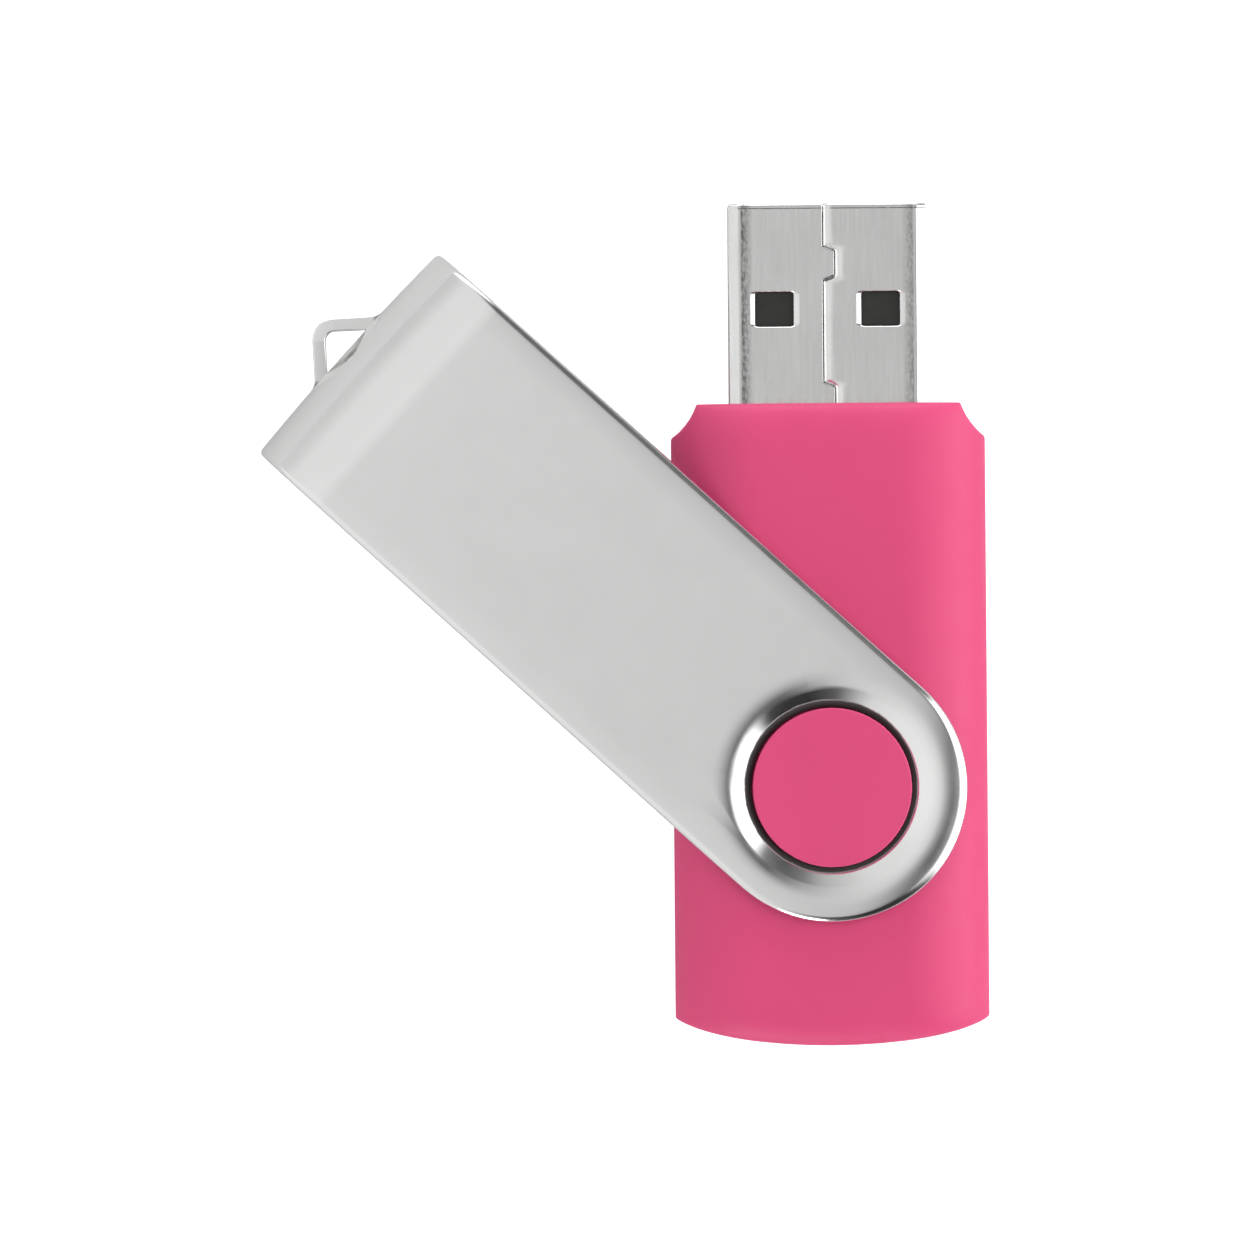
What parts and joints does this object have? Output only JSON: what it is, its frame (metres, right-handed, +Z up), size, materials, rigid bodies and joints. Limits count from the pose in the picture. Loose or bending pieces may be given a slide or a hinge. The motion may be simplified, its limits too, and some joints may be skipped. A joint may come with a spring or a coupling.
{
  "type": "usb flash drive",
  "caption": "Swivel USB flash drive: a bent metal clip turns about a round boss on the moulded housing to cover the plug; the board and chips are inside.",
  "frame": {"origin": "on the swivel axis, at the lower boss's outer face, which is level with the outer face of the clip's lower leg", "axes": "+Y out through the USB plug, +Z up, square to the drive's flat faces and along the swivel axis, +X across the housing"},
  "size_m": [0.0441, 0.051, 0.0105],
  "materials": {
    "housing_plastic": "pink moulded plastic, semi-gloss with a very fine texture",
    "clip_steel": "satin stainless sheet",
    "plug_steel": "nickel-plated sheet, fine lengthwise brushing",
    "insulator_plastic": "black moulded plastic",
    "contact_plating": "gold-plated copper alloy",
    "board_laminate": "green solder mask over glass laminate",
    "chip_package": "black moulded epoxy",
    "crystal_can": "drawn metal can",
    "led_resin": "clear moulded resin",
    "resistor_film": "black glaze with tinned ends",
    "capacitor_ceramic": "tan ceramic with tinned ends"
  },
  "bodies": {
    "drive": {"housing_bottom": "housing_plastic", "housing_top": "housing_plastic", "plug_shell": "plug_steel", "plug_insulator": "insulator_plastic", "contact_vbus": "contact_plating", "contact_data_minus": "contact_plating", "contact_data_plus": "contact_plating", "contact_ground": "contact_plating", "circuit_board": "board_laminate", "flash_memory_chip": "chip_package", "controller_chip": "chip_package", "crystal": "crystal_can", "status_led": "led_resin", "led_resistor": "resistor_film", "data_resistor_1": "resistor_film", "data_resistor_2": "resistor_film", "crystal_capacitor_1": "capacitor_ceramic", "crystal_capacitor_2": "capacitor_ceramic", "decoupling_capacitor_1": "capacitor_ceramic", "decoupling_capacitor_2": "capacitor_ceramic", "decoupling_capacitor_3": "capacitor_ceramic", "decoupling_capacitor_4": "capacitor_ceramic"},
    "clip": {"swivel_clip": "clip_steel"}
  },
  "joints": [
    {"name": "swivel", "type": "hinge", "parent": "drive", "child": "clip", "pos_m": [0, 0, 0.00525], "axis": [0, 0, 1], "continuous": true}
  ]
}
